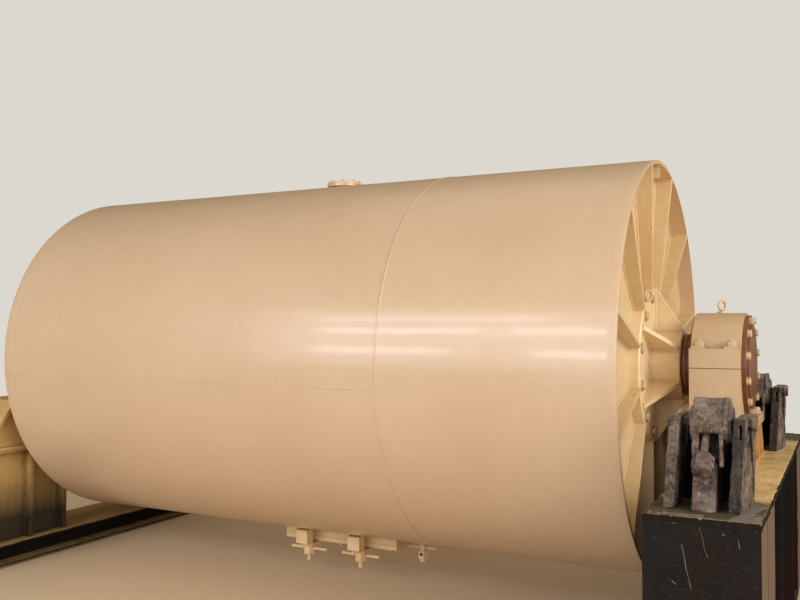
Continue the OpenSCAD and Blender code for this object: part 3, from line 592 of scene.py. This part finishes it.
def lump(made, place, size, seed, flat=1.0):
    """A rough lump of scale, spatter or hardened grease."""
    grains = bmesh.ops.create_icosphere(made, subdivisions=2, radius=size)["verts"]
    for grain in grains:
        push = 1.0 + 0.45 * noise.noise(grain.co * (0.9 / size) + Vector((seed * 3.1, seed, 0)))
        grain.co = Vector(place) + Vector(
            (grain.co.x * push, grain.co.y * push, grain.co.z * push * flat))


def walled(made, near, far):
    """A solid between two like outlines of vertices: a face on each, and walls between them."""
    made.faces.new(near)
    made.faces.new(far)
    for i in range(len(near)):
        j = (i + 1) % len(near)
        made.faces.new((near[i], near[j], far[j], far[i]))


def slab(made, outline, low, high):
    """A thin plate between two heights, with an outline of X and Y."""
    walled(made, *[[made.verts.new((x, y, z)) for x, y in outline] for z in (low, high)])


def rod(made, place, radius, length, sides=24, turn=None):
    """A closed rod about a middle point, upright unless it is turned."""
    matrix = Matrix.Translation(place) @ (turn or Matrix.Identity(4))
    bmesh.ops.create_cone(made, cap_ends=True, segments=sides, radius1=radius, radius2=radius,
                          depth=length, matrix=matrix)


def rolled_drum_skin():
    """The shell rolled from plate: its outside wanders by about a millimetre, and peaks at the
    girth seam."""
    lip, sides, stations = 0.004, 360, 90
    rim_depth, plain = 0.09, 0.02
    wander, peak, peak_reach = 0.0011, 0.0012, 0.03
    profile = [(-RIM + lip + 2 * (RIM - lip) * i / stations, DRUM_R) for i in range(stations + 1)]
    arc = [(RIM - lip + lip * math.sin(a), DRUM_R - lip + lip * math.cos(a)) for a in (0.5, 1.05)]
    inside = [(RIM, DRUM_R - lip), (RIM, SHELL_IR), (RIM - rim_depth, SHELL_IR)]
    profile += arc + inside
    profile += [(-x, r) for x, r in reversed(inside)] + [(-x, r) for x, r in reversed(arc)]
    made = bmesh.new()
    rings = []
    for x, radius in profile:
        ring = []
        for k in range(sides):
            angle = 2 * math.pi * k / sides
            place = Vector((x * 2.2, math.sin(angle) * 3.0, math.cos(angle) * 3.0))
            bulge = noise.noise(place) * wander
            bulge += peak * math.exp(-((x - SEAM) / peak_reach) ** 2)
            r = radius + (bulge if abs(x) < RIM - plain else 0.0)
            ring.append(made.verts.new((x, -r * math.sin(angle), AXIS + r * math.cos(angle))))
        rings.append(ring)
    for ring, following in zip(rings, rings[1:] + rings[:1]):
        for k in range(sides):
            beyond = (k + 1) % sides
            made.faces.new((ring[k], following[k], following[beyond], ring[beyond]))
    return closed_mesh("drum_skin", made)


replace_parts(settle("drum_skin", "drum", rolled_drum_skin(), drum_enamel),
            "shell_long_course", "shell_short_course")

# Seams of the shell: the girth seam, and one long seam in each course that lies deeper
LONG_COURSE_TURN = -95.5
SHORT_COURSE_TURN = 95.0
GIRTH_SINK, LONG_SINK = 0.0005, 0.0036
SEAM_END, SEAM_STEPS = 0.01, 40
seams = [(circle(SEAM, DRUM_R - GIRTH_SINK, 360), True)]
for x0, x1, turn in ((-RIM + SEAM_END, SEAM - SEAM_END, LONG_COURSE_TURN),
                     (SEAM + SEAM_END, RIM - SEAM_END, SHORT_COURSE_TURN)):
    seams.append(([on_circle(x0 + (x1 - x0) * i / SEAM_STEPS, DRUM_R - LONG_SINK, turn)
                   for i in range(SEAM_STEPS + 1)], False))
shell_welds = grown(WELD, path_mesh(seams), {
    "Bead Radius": 0.0055, "Ripple Length": 0.012, "Ripple Share": 0.22, "Finish": drum_enamel,
    "Seed": 3})
settle("shell_welds", "drum", shell_welds, None)

# Fillet welds of the ribs, the gussets, the tube and the end plate, a little off the faces
OFF_FACE = 0.002
fillets = [(circle(HUB_FACE + 0.003, HUB_TUBE_R + 0.003, 120), True),
           (circle(END_FACE + 0.001, SHELL_IR - 0.001, 300), True)]
for k in range(RIBS):
    for aside in (-RIB_T / 2 - OFF_FACE, RIB_T / 2 + OFF_FACE):
        turn = 180 / RIBS + 360 * k / RIBS
        fillets.append(([beside(END_FACE + OFF_FACE, r, turn, aside)
                         for r in (HUB_R + 0.004, 0.75, SHELL_IR - 0.004)], False))
        fillets.append(([beside(x, SHELL_IR - 0.003, turn, aside)
                         for x in (END_FACE + 0.004, RIM - 0.004)], False))
for k in range(GUSSETS):
    for aside in (-GUSSET_T / 2 - OFF_FACE, GUSSET_T / 2 + OFF_FACE):
        turn = 360 * k / GUSSETS
        fillets.append(([beside(HUB_FACE + OFF_FACE, r, turn, aside)
                         for r in (HUB_TUBE_R + 0.004, HUB_R - 0.02)], False))
        fillets.append(([beside(x, HUB_TUBE_R, turn, aside)
                         for x in (HUB_FACE + 0.004, HUB_TUBE_END - 0.01)], False))
end_welds = grown(WELD, path_mesh(fillets), {
    "Bead Radius": 0.007, "Ripple Length": 0.016, "Ripple Share": 0.28, "Seed": 7,
    "Finish": end_enamel})
both_ends("end_welds", "drum", end_welds, None)

# A ring of 13 mm bar leans on the hub flange's rim, turned half towards the front
RING_TURN, RING_R, RING_BAR_R = -34.0, 0.025, 0.0065
ring_x, ring_y, ring_z = on_circle(HUB_FACE + 0.012, HUB_R + 0.026, RING_TURN)
ring_line = [(ring_x + 0.5 * RING_R * math.cos(a), ring_y + 0.86 * RING_R * math.cos(a),
              ring_z + RING_R * math.sin(a)) for a in (2 * math.pi * i / 40 for i in range(40))]
hub_ring = grown(WELD, path_mesh([(ring_line, True)]), {
    "Bead Radius": RING_BAR_R, "Ripple Length": 0.006, "Ripple Share": 0.0, "Sides": 12,
    "Seed": 1, "Finish": pale_bolts})
settle("hub_ring", "drum", hub_ring, None)

# Screws of the bearing covers, of the bearing feet and of the port's cover
cover_points = circle(COVER_FACE, COVER_SCREWS_R, COVER_SCREWS, 180 / COVER_SCREWS)
cover_screws = bolts_at(cover_points, 0.020, pale_bolts, 4, along_x=True)
both_ends("cover_screws", "stand", cover_screws, None)
foot_x, foot_y = (BEARING_LOW.x + BEARING_HIGH.x) / 2, BEARING_HIGH.y - 0.030
foot_half = (BEARING_HIGH.x - BEARING_LOW.x) / 2 - 0.040
foot_points = [(foot_x + i * foot_half, j * foot_y, BEARING_LOW.z + 0.020)
               for i in (-1, 1) for j in (-1, 1)]
both_ends("foot_bolts", "stand", bolts_at(foot_points, 0.030, pale_bolts, 6), None)
port_x = (PORT_LOW.x + PORT_HIGH.x) / 2
port_points = [(port_x + PORT_BOLTS_R * math.cos(a), PORT_BOLTS_R * math.sin(a), PORT_HIGH.z)
               for a in (math.pi / PORT_BOLTS + 2 * math.pi * k / PORT_BOLTS
                         for k in range(PORT_BOLTS))]
settle("port_bolts", "drum", bolts_at(port_points, 0.012, pale_bolts, 8), None)

# The CAD nodes with rounded edges and their finishes
for end in ("left", "right"):
    for node, width, finish, slot in (
            ("end_plate", 0.002, end_enamel, "cream_paint"),
            ("end_ribs", 0.003, end_enamel, "cream_paint"),
            ("trunnion", 0.004, hub_enamel_painted_light, "cream_paint"),
            ("hub_bolts", 0.0015, pale_bolts, "cream_paint"),
            ("seal_collar", 0.0015, collar_oxide, "oiled_steel")):
        rounded(f"{node}_{end}", "drum", width, finish)
    for node, width, finish in (
            ("bearing_base", 0.004, housing_enamel), ("bearing_cap", 0.006, housing_enamel),
            ("inner_cover", 0.003, cover_enamel_painted_shade), ("outer_cover", 0.003, cover_enamel_painted_shade),
            ("cap_bolts", 0.0025, housing_enamel)):
        rounded(f"{node}_{end}", "stand", width, finish, 3)
for node, width, finish in (
        ("port_neck", 0.002, drum_enamel), ("port_cover", 0.002, hatch_enamel),
        ("hatch_frame", 0.003, hatch_enamel), ("hatch_cover", 0.003, hatch_enamel),
        ("drain_plug", 0.0015, hatch_enamel)):
    rounded(node, "drum", width, finish)
for node, width, finish, slot in (
        ("saddle_frame", 0.003, stand_enamel, "stained_paint"),
        ("saddle_webs", 0.002, stand_enamel, "stained_paint"),
        ("columns", 0.003, stand_enamel, "stained_paint"),
        ("base_beam", 0.004, beam_steel, "dark_steel"),
        ("pedestal", 0.003, pedestal_enamel, "cream_paint"),
        ("stand_box", 0.003, box_steel, "dark_steel"),
        ("bracket_pins", 0.003, bracket_steel, "greasy_steel"),
        ("swing_bolts", 0.003, bracket_steel, "greasy_steel")):
    rounded(node, "stand", width, finish)

# How the brackets on the right stand differ from their solids: places in X, heights and shares
FRONT_DEPTH = 0.1
UPRIGHT_LOW_X, UPRIGHT_MIDDLE_X, UPRIGHT_KNEE_Z = 2.40, 2.48, 1.0
UPRIGHT_HEIGHT = 0.978
POST_FORWARD, POST_STEP = 0.080, 0.127
POST_SOLID_X, POST_X, POST_WIDTH = 2.286, 2.290, 0.82
HOOD_SOLID_X, HOOD_X, HOOD_WIDTH, HOOD_HEIGHT = 2.288, 2.294, 0.89, 0.970


def bracket_front(co):
    """How far a point lies behind its bracket's front face."""
    return co.y - (BRACKET_FRONTS[0] if co.y < 0 else BRACKET_FRONTS[1])


def fit_upright(co):
    """The right upright's front is narrower at the foot, and its side turns outwards to the
    back."""
    co.z = TOP_HIGH.z + UPRIGHT_HEIGHT * (co.z - TOP_HIGH.z)
    if co.x > UPRIGHT_LOW_X and bracket_front(co) < FRONT_DEPTH:
        foot = 0.020 if co.x < UPRIGHT_MIDDLE_X else 0.032
        co.x -= foot if co.z < UPRIGHT_KNEE_Z else 0.014


def fit_post(co):
    """The post is narrower, and its lower part stands in front of the uprights."""
    if bracket_front(co) < FRONT_DEPTH and co.z < TOP_HIGH.z + POST_STEP:
        co.y -= POST_FORWARD
    co.x = POST_X + POST_WIDTH * (co.x - POST_SOLID_X)


def fit_hood(co):
    """The hood is a little narrower and lower than its solid."""
    co.z = TOP_HIGH.z + HOOD_HEIGHT * (co.z - TOP_HIGH.z)
    co.x = HOOD_X + HOOD_WIDTH * (co.x - HOOD_SOLID_X)


for node, finish, slot, grain, depth, fit in (
        ("stand_top", top_steel, "dark_steel", 0.026, 0.0045, None),
        ("bracket_uprights", upright_steel, "greasy_steel", 0.013, 0.0050, fit_upright),
        ("bracket_posts", bracket_steel, "greasy_steel", 0.016, 0.0030, fit_post),
        ("bracket_hoods", bracket_steel, "greasy_steel", 0.014, 0.0030, fit_hood)):
    battered(node, finish, grain, depth, fit)
for end in ("left", "right"):
    for node, finish in (("roller_bearing", bearing_metal), ("lifting_eye", pale_bolts)):
        data = nodes[f"{node}_{end}"].data
        data.materials.clear()
        data.materials.append(finish)


def ragged_lips():
    """Hard grease and spatter along the lips of the two hoods' mouths."""
    made = bmesh.new()
    lip_x, lip_z = HOOD_LOW.x + 0.050, HOOD_LOW.z + 0.140
    lumps, pitch = 9, 0.0100
    for front in BRACKET_FRONTS:
        for k in range(lumps):
            size = 0.0115 + 0.0060 * noise.noise(Vector((k * 1.7, front, 2.0)))
            place = (lip_x + pitch * k, front + 0.004, lip_z - 0.4 * size)
            lump(made, place, size, k + front, 1.4)
    return closed_mesh("hood_lips", made, 60)


def stand_crumbs():
    """Crumbs of scale and hard dust along the front and back edges of the stand's top."""
    crumbs, edge = 26, 1.43
    made = bmesh.new()
    for side, low, high in ((-1, TOP_LOW.x + 0.012, TOP_LOW.x + 0.16),
                            (1, TOP_LOW.x + 0.02, TOP_HIGH.x - 0.02)):
        for k in range(crumbs):
            share = 0.5 + 0.5 * noise.noise(Vector((k * 2.3, side * 5.0, 0.7))) * 1.6
            along = 0.6 * k / (crumbs - 1) + 0.4 * min(max(share, 0), 1)
            depth = 0.020 + 0.05 * abs(noise.noise(Vector((k * 1.3, 9.0, side))))
            size = 0.009 + 0.008 * abs(noise.noise(Vector((k * 0.9, 4.0, side))))
            place = (low + (high - low) * along, side * (edge - depth), TOP_HIGH.z)
            lump(made, place, size, k * side, 0.55)
    return closed_mesh("stand_crumbs", made, 60)


def scrap_patches():
    """Thin torn plates and dried paint that lie on the stand's top at its front edge."""
    made = bmesh.new()
    z = TOP_HIGH.z - 0.0002
    slab(made, [(2.232, -1.424), (2.300, -1.426), (2.356, -1.421), (2.346, -1.375),
                (2.262, -1.378)], z, z + 0.0025)
    slab(made, [(2.436, -1.424), (2.552, -1.421), (2.551, -1.300), (2.520, -1.268),
                (2.532, -1.190), (2.551, -1.120), (2.500, -1.060), (2.462, -1.080),
                (2.452, -1.190), (2.470, -1.300)], z, z + 0.0022)
    return closed_mesh("scrap_patches", made)


# Lines of X and Z with their widths
SCRATCHES = (
    ([(2.338, 0.850), (2.349, 0.815), (2.357, 0.770), (2.369, 0.741)], 0.0018),
    ([(2.275, 0.779), (2.283, 0.735), (2.290, 0.690), (2.299, 0.655), (2.307, 0.614)], 0.0030),
    ([(2.474, 0.822), (2.481, 0.785)], 0.0026),
    ([(2.418, 0.836), (2.430, 0.830)], 0.0040),
    ([(2.236, 0.640), (2.252, 0.628)], 0.0035))


def front_scratches():
    """Bare scratches down the end face of the stand, drawn 0.4 mm proud."""
    made = bmesh.new()
    y = TOP_LOW.y + 0.0002
    for line, width in SCRATCHES:
        for (x0, z0), (x1, z1) in zip(line, line[1:]):
            run = Vector((x1 - x0, 0, z1 - z0))
            aside = Vector((-run.z, 0, run.x)).normalized() * width / 2
            ring = []
            for end, at in ((Vector((x0, y, z0)), -1), (Vector((x1, y, z1)), 1)):
                ring += [end + aside * at, end - aside * at]
            front = [made.verts.new(p - Vector((0, 0.0006, 0))) for p in ring]
            back = [made.verts.new(p + Vector((0, 0.0010, 0))) for p in ring]
            walled(made, front, back)
    return closed_mesh("front_scratches", made)


# The hatch's clamps, at the photo's place: further out and further right than their solids
CLAMPS_X = (-0.218, 0.158)
CLAMP_HALF_W = 0.0415
CLAMP_SCREW_Y = 0.196
# Y and height from the axis, for the clamps at -Y
CLAMP_PROFILE = (
    (-0.288, -1.158), (-0.236, -1.158), (-0.236, -1.188), (-0.100, -1.188), (-0.100, -1.1665),
    (-0.220, -1.1665), (-0.220, -1.0768), (-0.255, -1.0690), (-0.288, -1.0755))


def clamp_lugs():
    """The hatch's four clamps: a chamfered lug on the shell, and an arm under the hatch's
    edge."""
    made = bmesh.new()
    for middle in CLAMPS_X:
        for side in (1, -1):
            walled(made, *[[made.verts.new((middle + half, side * y, AXIS + z))
                            for y, z in CLAMP_PROFILE]
                           for half in (-CLAMP_HALF_W, CLAMP_HALF_W)])
    return closed_mesh("clamp_lugs", made, 32)


def clamp_screws():
    """The clamps' screws, each with a hexagon nut and a cross bar under the arm."""
    made = bmesh.new()
    along = Matrix.Rotation(math.pi / 2, 4, "Y")
    for middle in CLAMPS_X:
        for y in (-CLAMP_SCREW_Y, CLAMP_SCREW_Y):
            rod(made, (middle, y, AXIS - 1.180), 0.015, 0.200)
            rod(made, (middle, y, AXIS - 1.213), 0.038, 0.050, 6,
                Matrix.Rotation(math.pi / 6, 4, "Z"))
            rod(made, (middle, y, AXIS - 1.203), 0.009, 0.262, 24, along)
    return closed_mesh("clamp_screws", made, 32)


for piece_name, clamp_mesh, node in (("clamp_lugs", clamp_lugs(), "hatch_clamps"),
                                     ("clamp_screws", clamp_screws(), "hatch_screws")):
    clamp = settle(piece_name, "drum", clamp_mesh, hatch_enamel)
    worn_edges(clamp, 0.002)
    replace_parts(clamp, node)


def hub_oil_and_shadow_rings():
    """Brown rings round the hub's bolts, drawn 0.5 mm proud of the flange: oil stains, and painted
    shadow round the heads.
    """
    radius, thick = 0.030, 0.001
    made = bmesh.new()
    for k in range(HUB_BOLTS):
        place = on_circle(HUB_FACE, HUB_BOLTS_R, (k + 0.5) * 360 / HUB_BOLTS)
        rod(made, place, radius, thick, 20, Matrix.Rotation(math.pi / 2, 4, "Y"))
    return closed_mesh("hub_oil_and_shadow_rings", made)


def plug_eye():
    """The hole through the drain plug's hexagon, drawn as a dark rod 1 mm proud at both sides: its
    dark is painted shade.
    """
    rise, radius, through = 0.048, 0.010, 0.0595
    made = bmesh.new()
    place = ((PLUG_LOW.x + PLUG_HIGH.x) / 2, 0, PLUG_LOW.z + rise)
    rod(made, place, radius, through, 16, Matrix.Rotation(math.pi / 2, 4, "X"))
    return closed_mesh("plug_eye", made)


def joint_lines():
    """The grimy joint between a housing's base and cap, drawn 0.8 mm proud on both sides."""
    proud, outer, inner, half = 0.0008, 0.3258, 0.270, 0.0016
    made = bmesh.new()
    x0, x1 = CAP_LOW.x - proud, CAP_HIGH.x + proud
    for side in (-1, 1):
        out, deep = side * outer, side * inner
        slab(made, [(x0, out), (x1, out), (x1, deep), (x0, deep)], AXIS - half, AXIS + half)
    return closed_mesh("joint_lines", made)


def bracket_backs():
    """A near-black sheet across the back of each bracket, behind its post: its black is painted
    shade.
    """
    x0, x1, behind, thick, height = 2.215, 2.462, 0.225, 0.006, 0.335
    made = bmesh.new()
    for front in BRACKET_FRONTS:
        y = front + behind
        slab(made, [(x0, y), (x1, y), (x1, y + thick), (x0, y + thick)],
             TOP_HIGH.z, TOP_HIGH.z + height)
    return closed_mesh("bracket_backs", made)


def rim_lug():
    """A short lug under the top of the right rim, between two ribs."""
    made = bmesh.new()
    x0, x1, half = RIM - 0.055, RIM - 0.020, 0.014
    slab(made, [(x0, -half), (x1, -half), (x1, half), (x0, half)],
         AXIS + SHELL_IR - 0.062, AXIS + SHELL_IR - 0.0002)
    return closed_mesh("rim_lug", made)


settle("hood_lips", "stand", ragged_lips(), bracket_steel)
settle("stand_crumbs", "stand", stand_crumbs(), upright_steel)
settle("scrap_patches", "stand", scrap_patches(), scrap_grey)
settle("front_scratches", "stand", front_scratches(), scratch_grey)
settle("bracket_backs", "stand", bracket_backs(), sheet_black_painted_shade)
both_ends("hub_oil_and_shadow_rings", "drum", hub_oil_and_shadow_rings(), oil_and_painted_shadow)
settle("plug_eye", "drum", plug_eye(), joint_grime_and_hole_shade)
settle("rim_lug", "drum", rim_lug(), end_enamel)
both_ends("joint_lines", "stand", joint_lines(), joint_grime_and_hole_shade)


def pale_ground():
    """A matt studio floor that keeps the shadow, and clears to the backdrop past 4 to 9 m."""
    finish = bpy.data.materials.new("studio floor")
    finish.use_nodes = True
    tree = finish.node_tree
    shader = tree.nodes["Principled BSDF"]
    shader.inputs["Base Color"].default_value = linear("#d9c5a4")
    shader.inputs["Roughness"].default_value = 0.9
    place = add(tree, "ShaderNodeTexCoord", out="Object")
    away = add(tree, "ShaderNodeVectorMath", {0: place}, "Value", operation="LENGTH")
    clear = add(tree, "ShaderNodeMapRange", {"Value": away, "From Min": 4.0, "From Max": 9.0})
    nothing = add(tree, "ShaderNodeBsdfTransparent")
    mixed = add(tree, "ShaderNodeMixShader", {0: clear, 1: shader.outputs[0], 2: nothing})
    tree.links.new(mixed, tree.nodes["Material Output"].inputs["Surface"])
    mesh = bpy.data.meshes.new("floor")
    reach = 30.0
    corners = [(-reach, -reach, 0), (reach, -reach, 0), (reach, reach, 0), (-reach, reach, 0)]
    mesh.from_pydata(corners, [], [(0, 1, 2, 3)])
    mesh.materials.append(finish)
    floor = bpy.data.objects.new("floor", mesh)
    bpy.context.scene.collection.objects.link(floor)


def studio_world():
    """Soft light on the object, and a pale backdrop for the camera."""
    world = bpy.data.worlds.new("studio")
    world.use_nodes = True
    bpy.context.scene.world = world
    tree = world.node_tree
    rays = add(tree, "ShaderNodeLightPath").node.outputs
    backdrop = add(tree, "ShaderNodeBackground", {"Color": linear("#dcd8d0"), "Strength": 1.0})
    fill = add(tree, "ShaderNodeBackground", {"Color": linear("#ffe3bb"), "Strength": 0.285})
    mix = add(tree, "ShaderNodeMixShader", {0: rays["Is Camera Ray"], 1: fill, 2: backdrop})
    tree.links.new(mix, tree.nodes["World Output"].inputs["Surface"])


def softbox(name, place, target, width, height, watts, colour):
    """A rectangular lamp that faces a target."""
    lamp = bpy.data.lights.new(name, "AREA")
    lamp.shape = "RECTANGLE"
    lamp.size, lamp.size_y = width, height
    lamp.energy = watts
    lamp.color = linear(colour)[:3]
    box = bpy.data.objects.new(name, lamp)
    box.location = place
    box.rotation_euler = (Vector(target) - Vector(place)).to_track_quat("-Z", "Y").to_euler()
    bpy.context.scene.collection.objects.link(box)


# The windows are low strips that the drum's glossy skin shows as streaks
WINDOW_Y, WINDOW_H = -7.0, 0.45
pale_ground()
studio_world()
softbox("hall wall", (-0.6, -8.0, 3.3), (0.2, 0.0, 1.2), 9.0, 4.5, 262, "#eff5ff")
for name, x, z, width, watts in (
        ("skylight", -2.1, 4.58, 3.4, 30), ("window 1", -2.4, 3.62, 2.3, 32),
        ("window 2", -0.2, 3.62, 1.3, 19), ("window 3", -2.5, 2.20, 2.0, 26),
        ("window 4", 0.1, 2.20, 1.1, 15)):
    softbox(name, (x, WINDOW_Y, z), (x, 0.0, z), width, WINDOW_H, watts, "#f6f9ff")
softbox("hall end", (8.0, -2.2, 3.8), (1.9, 0.0, 1.3), 4.8, 4.2, 350, "#fffaf4")
softbox("yard door", (7.0, -6.0, 2.5), (2.0, -0.3, 1.3), 3.0, 2.6, 95, "#fffaf4")
softbox("far wall", (-1.0, 8.0, 2.4), (0.0, 0.0, 1.2), 8.0, 3.5, 130, "#fff6ea")
softbox("roof light", (0.0, 1.0, 7.5), (0.0, 0.0, 1.0), 6.0, 4.0, 30, "#fff4e6")

# The photo's viewing angle, from a calibration on the drum's rims, seams and axis
LENS_MM, SENSOR_MM = 38.99, 36.0
EYE_X, EYE_Y, EYE_ABOVE_AXIS = 2.8539, -4.8470, 0.2345
EYE_PITCH, EYE_TURN = 91.398, 27.525
camera = bpy.data.cameras.new("photo camera")
camera.lens = LENS_MM
camera.sensor_width = SENSOR_MM
view_point = bpy.data.objects.new("photo camera", camera)
view_point.location = (EYE_X, EYE_Y, AXIS + EYE_ABOVE_AXIS)
view_point.rotation_euler = (math.radians(EYE_PITCH), 0.0, math.radians(EYE_TURN))
bpy.context.scene.collection.objects.link(view_point)
bpy.context.scene.camera = view_point
bpy.context.scene.view_settings.view_transform = "Standard"
